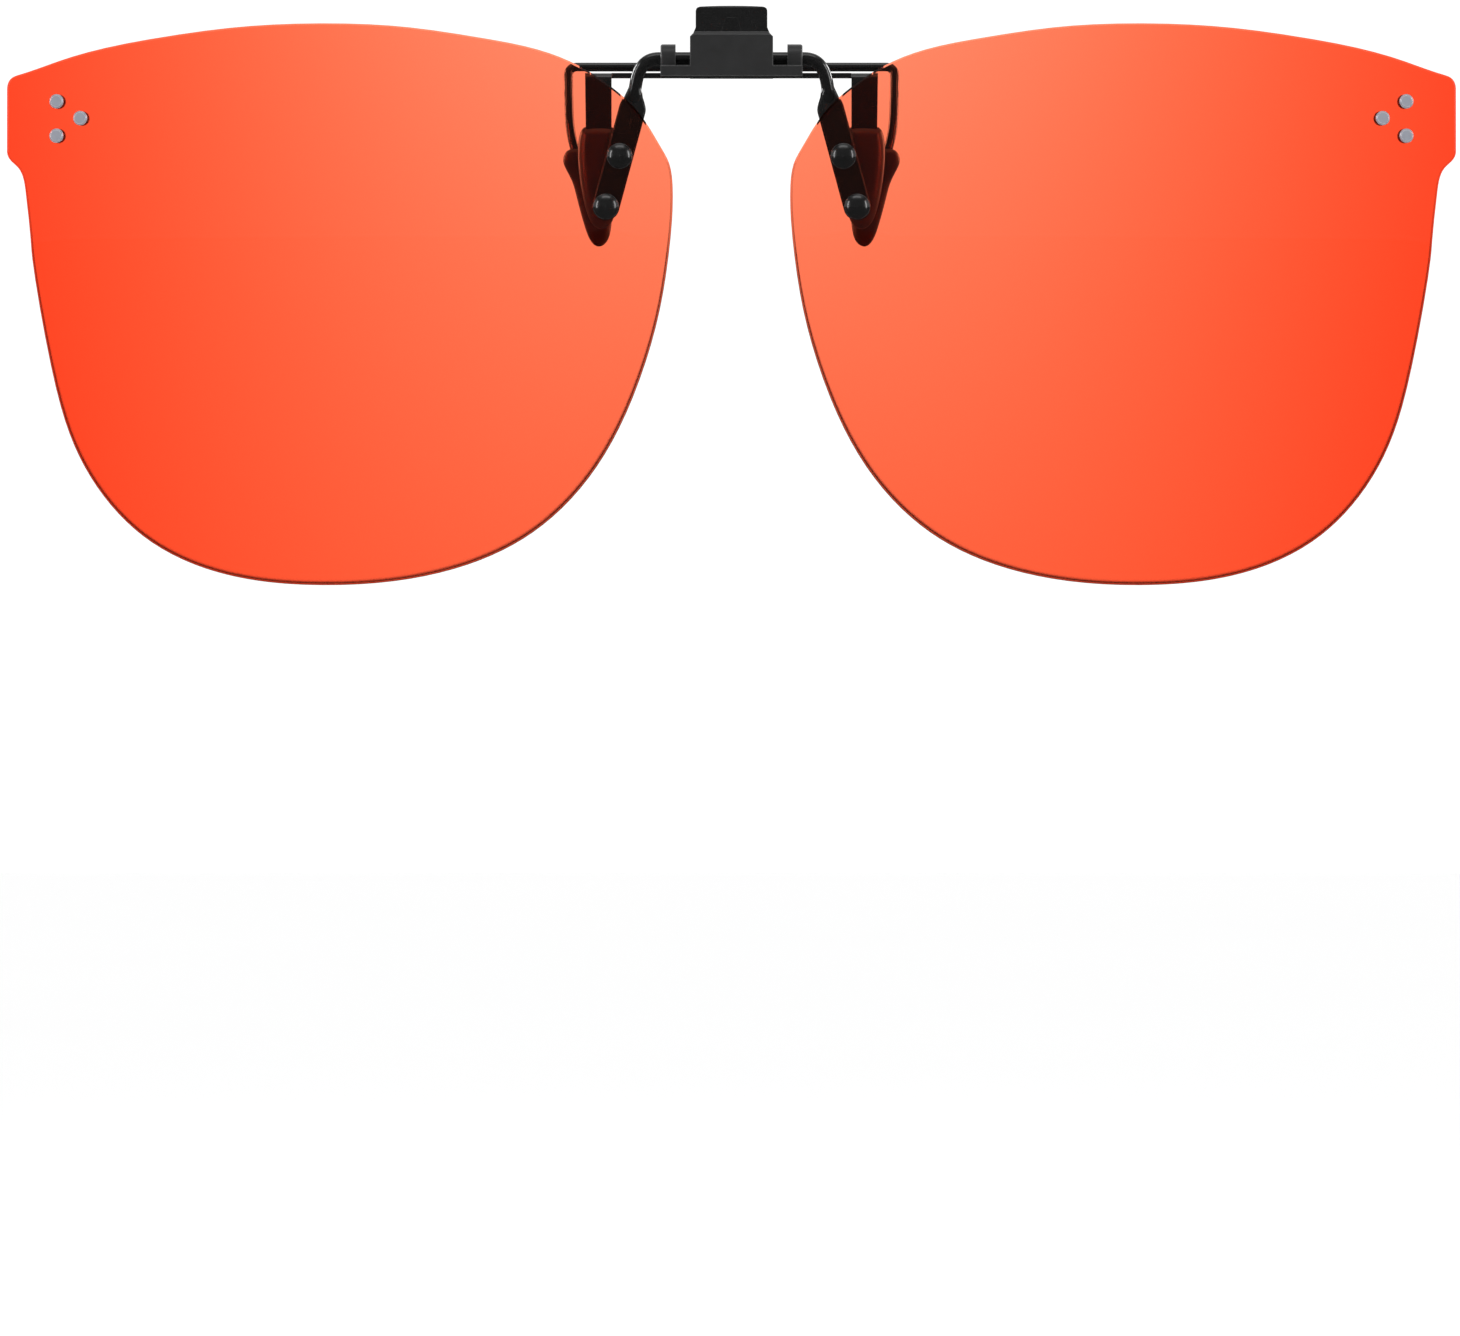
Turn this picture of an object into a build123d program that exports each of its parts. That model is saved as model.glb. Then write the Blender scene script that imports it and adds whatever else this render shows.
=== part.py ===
from build123d import *
import math
import os

os.makedirs("parts", exist_ok=True)

# Flip-up clip-on lenses for spectacles. Millimetres, +Z up, -Y is the front.
# Every size is measured from the flip axle, a line along X through Y = 0, Z = 0.
# The stored pieces are moved so that the origin is the middle of the closed jaw.

# ---- driving dimensions -------------------------------------------------------------
# fits
RUN = 0.04              # radial clearance of a turning fit
SEAT = 0.01             # radial clearance of a fixed pin in its hole
JAW_GAP = 0.2           # space between the front sleeves and the rear pads when closed

# axle and lens arms
AXLE_R = 0.65
AXLE_END = 0.25         # half the web left between the two arms inside the cam
ARM_BEND_X = 7.25       # where the arm starts to turn down
ARM_LEAN = 0.12         # how far the arm leans back for each millimetre down
PADDLE_ANGLE = 15.2     # degrees between the paddle and the vertical
PADDLE_W = 2.7
PADDLE_T = 0.5
PADDLE_EDGE = 0.12
PADDLE_TOP = -5.1       # height at which the paddle has its full width

# lenses
LENS_T = 1.2
LENS_R = 262.0          # outer sphere, a nearly flat two-dioptre base curve
LENS_BEVEL = 0.18
LENS_BACK = -0.25       # back surface at its foremost point
VERTEX = (11.87, -12.3)  # X and Z of that foremost point, midway between the rivets
NOSE = (5.86, -13.8)    # innermost point of the lens
LENS_WIDE = 66.8        # from that point to the outer straight edge
LENS_DEEP = 38.85       # from that point to the lowest one
TEMPLE_TOP = -2.9
TEMPLE_LOW = -9.2

# lens rivets and corner studs
RIVET_PITCH = 5.25
RIVET_R = 0.6
RIVET_HEAD_R = 1.28
RIVET_HEAD_H = 0.6
RIVET_TAIL_R = 0.95
RIVET_TAIL_H = 0.4
STUD_INSET = 5.01       # from the outer edge of the lens to the two outer studs
STUD_STEP = 2.4         # from those to the inner one
STUD_HEIGHTS = (-4.15, -5.85, -7.6)
STUD_R = 0.4
STUD_HEAD_R = 0.72
STUD_HEAD_H = 0.24
STUD_SLOPE = 0.65       # part of the stud head's height that its sloping rim takes
TAIL_REST = 0.0005      # space between a flat tail and the hollow back of the lens

# cast hinge body
PLATE_HALF = 4.15
PLATE_FRONT = -2.2
PLATE_T = 0.8
PLATE_TOP = 2.65
PLATE_CORNER = 0.5
PLATE_BEVEL = 0.28      # slope along the top front edge of the face plate
FLOOR_LOW = -1.8
FLOOR_T = 0.5
RAIL_TOP = -0.75
LUG_IN = 5.59
LUG_OUT = 7.1
KNUCKLE_TOP = 1.42      # radius of the barrel round the axle at each end
LUG_ROUND = 0.22
FLOOR_BACK = 1.5        # rear edge of the low floor, front edge of the claw plate
TAIL_LOW = -1.4         # underside of the raised tail, on top of the claw plate
TAIL_FRONT = 1.15
TAIL_BACK = 5.75
CHEEK_IN = 3.35
CHEEK_EYE_R = 0.98
CHEEK_LAP = 1.6         # how far each cheek runs forward over the tail
CHEEK_SLOPE = 1.0

# detent
CAM_SIDE = 1.7
CAM_CORNER = 0.3
CAM_HALF = 2.5
LEAF_T = 0.15
LEAF_HALF = 2.4
LEAF_TOP = 0.95
LEAF_ROOT = 0.3         # depth of the slot that holds the leaf
LEAF_CORNER = 0.4

# claw plate, the fixed half of the jaw
CLAW_T = 0.5
CLAW_BACK = 4.6
ARM_BACK = 3.3
BLADE_IN = 12.0
BLADE_OUT = 14.65
BLADE_LOW = -15.3
BLADE_BEND = 0.75
PLATE_RIVET_X = 2.9
PLATE_RIVET_Y = 2.9
PLATE_RIVET_R = 0.5
PLATE_RIVET_HEAD_R = 0.85
PLATE_RIVET_HEAD_H = 0.3
PLATE_RIVET_SINK = 0.25

# soft sleeves and pads
SLEEVE_WALL = 0.55
SLEEVE_TOP = -6.85
PAD_T = 1.6
SOFT_ROUND = 0.4        # rounding along the open edge of each sleeve and pad
WIRE_END = -11.7        # lower end of the claw wire inside the rear pad

# claw wire and squeeze lever, the moving half of the jaw
WIRE_R = 0.45
PIVOT_Y = 7.0
PIVOT_Z = -0.65
WIRE_SIDE = 16.35       # X of the legs just below their corners
WIRE_CORNER = 0.85
KNUCKLE_IN = 2.3
KNUCKLE_R = 0.95
LEVER_HALF = 3.2
LEVER_WIDE = 3.85
LEVER_WIDE_LOW = 0.9
TAB_HALF = 3.6
TAB_TOP = 5.55
TAB_CORNER = 0.6
LEVER_T = 0.8
LEVER_FRONT = 7.2
LEVER_LOW = 0.35
LEVER_ROUND = 0.3
CHANNEL_HALF = 1.4
CHANNEL_DEPTH = 0.3
CHANNEL_R = 2.2         # of the round tool that presses the channel
CHANNEL_MID = 2.6
CHANNEL_LONG = 4.2
CHANNEL_LEAN = 9        # degrees, to follow the bend of the tab

# torsion spring
SPRING_WIRE_R = 0.175
SPRING_CLEAR = 0.07     # radial space between the coil and the claw wire
SPRING_PITCH = 0.42
SPRING_TURNS = 5
SPRING_FOOT_Y = 4.4
SPRING_HAND_Z = 2.2

# jaw centre, the stored origin
JAW_Z = -12.5

# ---- derived sizes ------------------------------------------------------------------
TEMPLE_X = NOSE[0] + LENS_WIDE
LENS_LOW = NOSE[1] - LENS_DEEP
LENS_SAG = (TEMPLE_X**2 + LENS_LOW**2) / (2 * LENS_R)  # more than the lens curves back
STUD_SPOTS = [
    (TEMPLE_X - STUD_INSET - step, z) for step, z in zip((0, STUD_STEP, 0), STUD_HEIGHTS)
]
LENS_FRONT = LENS_BACK - LENS_T
PLATE_BACK = PLATE_FRONT + PLATE_T
FLOOR_TOP = FLOOR_LOW + FLOOR_T
TAIL_TOP = TAIL_LOW + CLAW_T
CLAW_LOW = TAIL_LOW - CLAW_T
LEAF_FRONT = CAM_SIDE / 2 + SEAT
BLADE_FRONT = FLOOR_BACK
BLADE_BACK = BLADE_FRONT + CLAW_T
SLEEVE_FRONT = BLADE_FRONT - SLEEVE_WALL
SLEEVE_BACK = BLADE_BACK + SLEEVE_WALL
PAD_FRONT = SLEEVE_BACK + JAW_GAP
PAD_BACK = PAD_FRONT + PAD_T
PAD_MID = (PAD_FRONT + PAD_BACK) / 2
JAW_Y = SLEEVE_BACK + JAW_GAP / 2
COIL_R = WIRE_R + SPRING_CLEAR + SPRING_WIRE_R
DOWN = (math.sin(math.radians(PADDLE_ANGLE)), -math.cos(math.radians(PADDLE_ANGLE)))
SPHERE_CENTRE = (VERTEX[0], LENS_FRONT + LENS_R, VERTEX[1])
RIVET_SPOTS = [
    (VERTEX[0] + DOWN[0] * RIVET_PITCH * k, VERTEX[1] + DOWN[1] * RIVET_PITCH * k)
    for k in (-0.5, 0.5)
]


def block(x0, x1, y0, y1, z0, z1):
    """A box between two corners."""
    middle = Pos((x0 + x1) / 2, (y0 + y1) / 2, (z0 + z1) / 2)
    return middle * Box(x1 - x0, y1 - y0, z1 - z0)


def rod(radius, x0, x1, y, z):
    """A round bar along X."""
    return Pos((x0 + x1) / 2, y, z) * Rot(0, 90, 0) * Cylinder(radius, x1 - x0)


def slab(curves, y0, y1):
    """An outline drawn in X and Z, given depth from y0 to y1."""
    face = make_face([edge for curve in curves for edge in (Plane.XZ * curve).edges()])
    return Pos(0, y0, 0) * extrude(face, amount=y1 - y0, dir=(0, 1, 0))


def both_sides(shape):
    """The shape and its mirror image across the middle plane."""
    return shape + mirror(shape, about=Plane.YZ)


def save(shape, name):
    """Write one node, moved so that the jaw centre is the origin."""
    moved = Pos(0, -JAW_Y, -JAW_Z) * shape
    solids = moved.solids()
    export_step(Compound(children=list(solids)) if len(solids) > 1 else solids[0], f"parts/{name}.step")
    print(name, len(solids), "solids", round(sum(s.volume for s in solids), 3), "mm3")


def save_pair(shape, name):
    """Write the right-hand piece and its mirror image as two nodes."""
    save(shape, f"right_{name}")
    save(mirror(shape, about=Plane.YZ), f"left_{name}")


# ---- lens ---------------------------------------------------------------------------
# The outline runs from the upper outer corner over the brow to the nose, under the eye
# and up to the small shoulder below the three studs. Its points are drawn for a lens
# 66.8 wide and 38.85 deep, and stretched to the width and depth set above.
DRAWN_WIDE = 66.8
DRAWN_DEEP = 38.85


def drawn(*points):
    """Outline points, stretched sideways from the nose and downwards below it."""
    across = LENS_WIDE / DRAWN_WIDE
    down = LENS_DEEP / DRAWN_DEEP
    return [
        (NOSE[0] + (x - NOSE[0]) * across, NOSE[1] + (z - NOSE[1]) * (down if z < NOSE[1] else 1))
        for x, z in points
    ]


brow_end, shoulder_low, shoulder_mid = drawn((71.6, -1.5), (70.8, -13.0), (71.56, -10.75))
brow = Spline(
    brow_end,
    *drawn(
        (66.96, 0.05), (56.96, 2.25), (48.96, 3.25), (40.96, 3.55), (32.96, 3.2), (24.96, 2.05),
        (16.96, 0.05), (11.7, -3.1), (8.85, -6.0), (7.0, -9.0),
    ),
    NOSE,
    tangents=[(-0.9, 0.25), (0, -1)],
)
underside = Spline(
    NOSE,
    *drawn(
        (6.25, -19.4), (7.1, -24.8), (9.06, -31.75), (13.86, -41.35), (20.36, -47.7), (28.96, -51.35),
        (40.96, -52.65), (50.96, -51.5), (58.96, -47.75), (64.96, -40.6), (68.16, -31.0),
        (70.16, -19.4),
    ),
    shoulder_low,
    tangents=[(0, -1), (0.12, 1)],
)
shoulder = Spline(
    shoulder_low, shoulder_mid, (TEMPLE_X, TEMPLE_LOW),
    tangents=[(0.12, 1), (0.1, 1)],
)
temple = Line((TEMPLE_X, TEMPLE_LOW), (TEMPLE_X, TEMPLE_TOP))
corner = Spline((TEMPLE_X, TEMPLE_TOP), brow_end, tangents=[(0, 1), (-0.9, 0.25)])
ball = Pos(*SPHERE_CENTRE) * Sphere(LENS_R)
hollow = Pos(*SPHERE_CENTRE) * Sphere(LENS_R - LENS_T)
blank = slab([brow, underside, shoulder, temple, corner], LENS_FRONT - 1, LENS_BACK + LENS_SAG)
lens = (blank & ball) - hollow
rim_edges = lens.edges().filter_by(lambda e: e.length > 5)
lens = chamfer(rim_edges, LENS_BEVEL)


def on_lens(x, z, radius):
    """A plane on the sphere of this radius, facing out of the front of the lens."""
    dx = x - SPHERE_CENTRE[0]
    dz = z - SPHERE_CENTRE[2]
    dy = -math.sqrt(LENS_R**2 - dx**2 - dz**2)
    out = Vector(dx, dy, dz).normalized()
    return Plane(origin=Vector(*SPHERE_CENTRE) + out * radius, z_dir=out)


def domed_head(radius, height):
    """A rivet head: a cap of a sphere standing on Z = 0."""
    dome_r = (radius**2 + height**2) / (2 * height)
    dome = Pos(0, 0, height - dome_r) * Sphere(dome_r)
    return dome & Pos(0, 0, height) * Cylinder(radius * 2, height * 2)


def flat_head(radius, height):
    """A stud head: a disc on Z = 0 with a wide sloping rim."""
    disc = Pos(0, 0, height / 2) * Cylinder(radius, height)
    return chamfer(disc.edges().group_by(Axis.Z)[-1], height * STUD_SLOPE)


def pin(head, shank_r, grip, tail_r, tail_h):
    """A head on Z = 0, a shank through the grip below it and a bevelled tail under the grip."""
    shank = Pos(0, 0, -grip / 2) * Cylinder(shank_r, grip + tail_h)
    tail = Pos(0, 0, -grip - tail_h / 2) * Cylinder(tail_r, tail_h)
    return head + shank + chamfer(tail.edges().group_by(Axis.Z)[0], tail_h / 3)


def bed(radius):
    """How far a flat disc of this radius stands off the hollow back of the lens."""
    return radius**2 / (2 * LENS_R) + TAIL_REST


def drill(spots, radius, depth):
    """Holes square to the lens, through everything within this depth of its front."""
    return [
        on_lens(x, z, LENS_R) * Pos(0, 0, 1 - depth) * Cylinder(radius, 2 * depth)
        for x, z in spots
    ]


# ---- lens arm: a wire bent down from the axle and beaten flat behind the lens --------
arm_down = Vector(DOWN[0] / 2, ARM_LEAN, DOWN[1]).normalized()
arm_low = Vector(9.62, ARM_LEAN * 2.2, -2.9)
axle_run = Line((AXLE_END, 0, 0), (ARM_BEND_X, 0, 0))
arm_drop = Spline((ARM_BEND_X, 0, 0), (8.92, 0.02, -0.78), arm_low, tangents=[(1, 0, 0), arm_down])
arm_path = axle_run + arm_drop
arm_wire = sweep(Plane(origin=(AXLE_END, 0, 0), z_dir=(1, 0, 0)) * Circle(AXLE_R), path=arm_path)


def beside(z, offset):
    """A point beside the paddle's centre line at this height."""
    along = (z - VERTEX[1]) / DOWN[1]
    return (VERTEX[0] + DOWN[0] * along - DOWN[1] * offset, z + DOWN[0] * offset)


half_w = PADDLE_W / 2
tip_spot = RIVET_SPOTS[1]
inner_top = beside(PADDLE_TOP, -half_w)
outer_top = beside(PADDLE_TOP, half_w)
inner_low = beside(tip_spot[1], -half_w)
outer_low = beside(tip_spot[1], half_w)
tip = (tip_spot[0] + DOWN[0] * half_w, tip_spot[1] + DOWN[1] * half_w)
neck_in = (arm_low.X - AXLE_R + 0.05, arm_low.Z)
neck_out = (arm_low.X + AXLE_R - 0.05, arm_low.Z)
paddle_outline = [
    Line(neck_out, neck_in),
    Spline(neck_in, inner_top, tangents=[(0.05, -1), DOWN]),
    Line(inner_top, inner_low),
    ThreePointArc(inner_low, tip, outer_low),
    Line(outer_low, outer_top),
    Spline(outer_top, neck_out, tangents=[(-DOWN[0], -DOWN[1]), (-0.3, 1)]),
]
paddle_front = Pos(*SPHERE_CENTRE) * Sphere(LENS_R - LENS_T)
paddle_back = Pos(*SPHERE_CENTRE) * Sphere(LENS_R - LENS_T - PADDLE_T)
paddle = (slab(paddle_outline, LENS_FRONT, PADDLE_T + 2) & paddle_front) - paddle_back
paddle = chamfer(paddle.edges().filter_by(lambda e: e.length > 3), PADDLE_EDGE)
neck_low = beside(PADDLE_TOP, 0)
neck = loft([
    Plane(origin=arm_low, z_dir=arm_down, x_dir=(1, 0, 0)) * Circle(AXLE_R),
    Plane(origin=(neck_low[0], 0.2, neck_low[1]), z_dir=(DOWN[0], 0, DOWN[1]), x_dir=(-DOWN[1], 0, DOWN[0]))
    * Ellipse(half_w * 0.96, PADDLE_T * 0.42),
])
lens_arm = arm_wire + paddle + neck - lens
for hole in drill(RIVET_SPOTS, RIVET_R + SEAT, LENS_T + PADDLE_T + 1):
    lens_arm -= hole
    lens -= hole
for hole in drill(STUD_SPOTS, STUD_R + SEAT, LENS_T + 1):
    lens -= hole

rivet_head_shape = domed_head(RIVET_HEAD_R, RIVET_HEAD_H)
rivet_grip = LENS_T + PADDLE_T + bed(RIVET_TAIL_R)
rivet = pin(rivet_head_shape, RIVET_R, rivet_grip, RIVET_TAIL_R, RIVET_TAIL_H)
lens_rivets = Compound(children=[on_lens(x, z, LENS_R) * rivet for x, z in RIVET_SPOTS])
stud_head_shape = flat_head(STUD_HEAD_R, STUD_HEAD_H)
stud = pin(stud_head_shape, STUD_R, LENS_T + bed(STUD_HEAD_R), STUD_HEAD_R, STUD_HEAD_H)
corner_studs = Compound(children=[on_lens(x, z, LENS_R) * stud for x, z in STUD_SPOTS])

# ---- detent cam and leaf -------------------------------------------------------------
cam_section = Plane.YZ * RectangleRounded(CAM_SIDE, CAM_SIDE, CAM_CORNER)
cam = extrude(cam_section, amount=CAM_HALF, both=True)
cam -= rod(AXLE_R + SEAT, AXLE_END, CAM_HALF + 1, 0, 0)
cam -= rod(AXLE_R + SEAT, -CAM_HALF - 1, -AXLE_END, 0, 0)
leaf_back = LEAF_FRONT + LEAF_T
leaf = block(-LEAF_HALF, LEAF_HALF, LEAF_FRONT, leaf_back, FLOOR_TOP - LEAF_ROOT, LEAF_TOP)
leaf = fillet(leaf.edges().filter_by(Axis.Y).group_by(Axis.Z)[-1], LEAF_CORNER)

# ---- cast hinge body -----------------------------------------------------------------
face_plate = block(-PLATE_HALF, PLATE_HALF, PLATE_FRONT, PLATE_BACK, FLOOR_LOW, PLATE_TOP)
face_plate = chamfer(face_plate.edges().filter_by(Axis.Y).group_by(Axis.Z)[-1], PLATE_CORNER)
face_plate = chamfer(face_plate.faces().sort_by(Axis.Y)[0].edges().group_by(Axis.Z)[-1], PLATE_BEVEL)
rail = block(-LUG_OUT, LUG_OUT, PLATE_FRONT, PLATE_BACK, FLOOR_LOW, RAIL_TOP)
floor = block(-LUG_OUT, LUG_OUT, PLATE_BACK, FLOOR_BACK, FLOOR_LOW, FLOOR_TOP)
lug = rod(KNUCKLE_TOP, LUG_IN, LUG_OUT, 0, 0)
lug += block(LUG_IN, LUG_OUT, -KNUCKLE_TOP, KNUCKLE_TOP, FLOOR_LOW, 0)
lug = fillet(lug.faces().sort_by(Axis.X)[-1].edges().filter_by(GeomType.CIRCLE), LUG_ROUND)
tail = block(-PLATE_HALF, PLATE_HALF, TAIL_FRONT, TAIL_BACK, TAIL_LOW, TAIL_TOP)
cheek = block(CHEEK_IN, PLATE_HALF, TAIL_BACK - CHEEK_LAP, PIVOT_Y, TAIL_LOW, PIVOT_Z + CHEEK_EYE_R)
cheek = chamfer(cheek.edges().filter_by(Axis.X).group_by(Axis.Z)[-1].sort_by(Axis.Y)[0], CHEEK_SLOPE)
cheek += rod(CHEEK_EYE_R, CHEEK_IN, PLATE_HALF, PIVOT_Y, PIVOT_Z)
hinge_body = face_plate + rail + floor + tail + both_sides(lug) + both_sides(cheek)
hinge_body -= both_sides(rod(AXLE_R + RUN, LUG_IN - 0.5, LUG_OUT + 1, 0, 0))
hinge_body -= both_sides(rod(WIRE_R + RUN, CHEEK_IN - 0.5, PLATE_HALF + 1, PIVOT_Y, PIVOT_Z))
hinge_body -= leaf

# ---- claw plate ----------------------------------------------------------------------
claw_plate = block(-PLATE_HALF, PLATE_HALF, FLOOR_BACK, CLAW_BACK, CLAW_LOW, TAIL_LOW)
claw_plate += block(-BLADE_IN, BLADE_IN, FLOOR_BACK, ARM_BACK, CLAW_LOW, TAIL_LOW)
bend_in = BLADE_BEND - CLAW_T
bend_y = BLADE_FRONT + BLADE_BEND
bend_z = TAIL_LOW - BLADE_BEND
blade_side = make_face([
    *(Plane.YZ * Polyline((ARM_BACK, CLAW_LOW), (ARM_BACK, TAIL_LOW), (bend_y, TAIL_LOW))).edges(),
    *(Plane.YZ * RadiusArc((bend_y, TAIL_LOW), (BLADE_FRONT, bend_z), -BLADE_BEND)).edges(),
    *(Plane.YZ * Polyline(
        (BLADE_FRONT, bend_z), (BLADE_FRONT, BLADE_LOW), (BLADE_BACK, BLADE_LOW), (BLADE_BACK, bend_z)
    )).edges(),
    *(Plane.YZ * RadiusArc((BLADE_BACK, bend_z), (bend_y, CLAW_LOW), bend_in)).edges(),
    *(Plane.YZ * Line((bend_y, CLAW_LOW), (ARM_BACK, CLAW_LOW))).edges(),
])
blade_strip = Pos(BLADE_IN, 0, 0) * extrude(blade_side, amount=BLADE_OUT - BLADE_IN, dir=(1, 0, 0))
blade_outline = Polyline(
    (BLADE_IN, TAIL_LOW), (BLADE_IN, -9.0), (12.45, BLADE_LOW + 0.6), (12.9, BLADE_LOW),
    (13.35, BLADE_LOW), (13.85, BLADE_LOW + 0.6), (BLADE_OUT - 0.1, -9.0), (BLADE_OUT, TAIL_LOW),
    (BLADE_IN, TAIL_LOW),
)
claw_plate += both_sides(blade_strip & slab([blade_outline], FLOOR_BACK - 1, ARM_BACK + 1))


def plate_rivet(clear):
    """One rivet, flush below the claw plate and headed on top of the tail."""
    radius = PLATE_RIVET_R + clear
    shank = Pos(0, 0, (TAIL_TOP + CLAW_LOW) / 2) * Cylinder(radius, TAIL_TOP - CLAW_LOW)
    sink = Pos(0, 0, CLAW_LOW + PLATE_RIVET_SINK / 2) * Cone(
        PLATE_RIVET_HEAD_R, radius, PLATE_RIVET_SINK
    )
    return Pos(PLATE_RIVET_X, PLATE_RIVET_Y, 0) * (shank + sink)


rivet_hole = both_sides(plate_rivet(SEAT))
hinge_body -= rivet_hole
claw_plate -= rivet_hole
rivet_head = Pos(PLATE_RIVET_X, PLATE_RIVET_Y, TAIL_TOP + PLATE_RIVET_HEAD_H / 2) * Cylinder(
    PLATE_RIVET_HEAD_R, PLATE_RIVET_HEAD_H
)
rivet_head = chamfer(rivet_head.edges().group_by(Axis.Z)[-1], PLATE_RIVET_HEAD_H / 2)
one_plate_rivet = plate_rivet(0) + rivet_head
plate_rivets = Compound(children=[one_plate_rivet, mirror(one_plate_rivet, about=Plane.YZ)])

# ---- front sleeve: a rubber sock over the blade ---------------------------------------
sleeve_outline = Spline(
    (12.3, SLEEVE_TOP), (14.3, SLEEVE_TOP), (15.1, -7.55), (15.32, -9.0), (15.12, -12.2),
    (14.4, -15.7), (13.0, -17.15), (11.75, -16.1), (11.45, -13.5), (11.45, -9.5), (11.6, -7.5),
    periodic=True,
)
sleeve = slab([sleeve_outline], SLEEVE_FRONT, SLEEVE_BACK)
sleeve = fillet(sleeve.faces().sort_by(Axis.Y)[0].edges(), SOFT_ROUND) - claw_plate

# ---- claw wire -------------------------------------------------------------------------
leg_dir = Vector(0, PAD_MID - PIVOT_Y, -9.2 - PIVOT_Z).normalized()
corner_in = WIRE_SIDE - WIRE_CORNER
corner_out = Vector(WIRE_SIDE, PIVOT_Y, PIVOT_Z) + leg_dir * WIRE_CORNER
bend_mid = (
    Vector(corner_in, PIVOT_Y, PIVOT_Z) + leg_dir * WIRE_CORNER
    + (Vector(1, 0, 0) - leg_dir) * (WIRE_CORNER / math.sqrt(2))
)
crossbar = Line((0, PIVOT_Y, PIVOT_Z), (corner_in, PIVOT_Y, PIVOT_Z))
corner_arc = ThreePointArc((corner_in, PIVOT_Y, PIVOT_Z), bend_mid, corner_out)
leg = Spline(
    corner_out, (16.28, 5.35, -4.9), (15.98, 4.1, -7.8), (15.45, PAD_MID, -9.9),
    (15.3, PAD_MID, WIRE_END),
    tangents=[leg_dir, (0, 0, -1)],
)
wire_start = Plane(origin=(0, PIVOT_Y, PIVOT_Z), z_dir=(1, 0, 0))
half_wire = sweep(wire_start * Circle(WIRE_R), path=crossbar + corner_arc + leg)
pocket = sweep(wire_start * Circle(WIRE_R + SEAT), path=crossbar + corner_arc + leg)
claw_wire = both_sides(half_wire)

# ---- rear pad: rubber moulded round the end of the claw wire ---------------------------
pad_outline = Spline(
    (13.4, -9.3), (15.4, -8.95), (16.6, -9.35), (16.82, -10.2), (16.05, -11.8), (15.45, -13.7),
    (14.85, -16.2), (14.3, -17.8), (13.25, -18.7), (12.2, -17.8), (11.95, -15.0), (12.2, -11.5),
    periodic=True,
)
rear_pad = slab([pad_outline], PAD_FRONT, PAD_BACK)
rear_pad = fillet(rear_pad.faces().sort_by(Axis.Y)[-1].edges(), SOFT_ROUND) - pocket

# ---- squeeze lever ---------------------------------------------------------------------
lever_back = LEVER_FRONT + LEVER_T
side_view = Polyline(
    (LEVER_FRONT, LEVER_LOW), (LEVER_FRONT, 2.5), (8.0, TAB_TOP - 0.35), (8.1, TAB_TOP),
    (9.1, TAB_TOP), (9.1, TAB_TOP - 0.75), (8.75, TAB_TOP - 0.9), (lever_back, 2.4),
    (lever_back, LEVER_LOW), (LEVER_FRONT, LEVER_LOW),
)
lever_bar = extrude(Plane.YZ * make_face(side_view), amount=LEVER_WIDE, both=True)
lever_bar = fillet(lever_bar.edges().filter_by(Axis.X).group_by(Axis.Z)[-1], LEVER_ROUND)
front_view = [
    Polyline(
        (-LEVER_HALF, LEVER_LOW), (LEVER_HALF, LEVER_LOW), (LEVER_HALF, LEVER_WIDE_LOW),
        (LEVER_WIDE, LEVER_WIDE_LOW + 0.6), (LEVER_WIDE, 2.75), (TAB_HALF, 3.35),
        (TAB_HALF, TAB_TOP - TAB_CORNER),
    ),
    Spline(
        (TAB_HALF, TAB_TOP - TAB_CORNER), (TAB_HALF - TAB_CORNER, TAB_TOP - 0.08),
        tangents=[(0, 1), (-1, 0.03)],
    ),
    ThreePointArc(
        (TAB_HALF - TAB_CORNER, TAB_TOP - 0.08), (0, TAB_TOP), (-TAB_HALF + TAB_CORNER, TAB_TOP - 0.08)
    ),
    Spline(
        (-TAB_HALF + TAB_CORNER, TAB_TOP - 0.08), (-TAB_HALF, TAB_TOP - TAB_CORNER),
        tangents=[(-1, -0.03), (0, -1)],
    ),
    Polyline(
        (-TAB_HALF, TAB_TOP - TAB_CORNER), (-TAB_HALF, 3.35), (-LEVER_WIDE, 2.75),
        (-LEVER_WIDE, LEVER_WIDE_LOW + 0.6), (-LEVER_HALF, LEVER_WIDE_LOW), (-LEVER_HALF, LEVER_LOW),
    ),
]
lever = lever_bar & slab(front_view, LEVER_FRONT - 1, lever_back + 2)
channel = Pos(0, LEVER_FRONT - CHANNEL_R + CHANNEL_DEPTH, CHANNEL_MID) * Rot(-CHANNEL_LEAN, 0, 0) * Cylinder(
    CHANNEL_R, CHANNEL_LONG
)
lever -= channel & block(-CHANNEL_HALF, CHANNEL_HALF, 6, 9, 2.45, 4.8)
foot = block(KNUCKLE_IN, LEVER_HALF, LEVER_FRONT - 0.2, lever_back - 0.05, PIVOT_Z, LEVER_LOW + 0.3)
knuckle = rod(KNUCKLE_R, KNUCKLE_IN, LEVER_HALF, PIVOT_Y, PIVOT_Z) + foot
lever += both_sides(knuckle)
lever -= rod(WIRE_R + SEAT, -LEVER_HALF - 1, LEVER_HALF + 1, PIVOT_Y, PIVOT_Z)

# ---- torsion spring ----------------------------------------------------------------------


def touching_angle(y, z, side):
    """The angle on the coil where a straight leg through this point leaves it."""
    dy = y - PIVOT_Y
    dz = z - PIVOT_Z
    return math.atan2(dz, dy) + side * math.acos(COIL_R / math.hypot(dy, dz))


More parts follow.
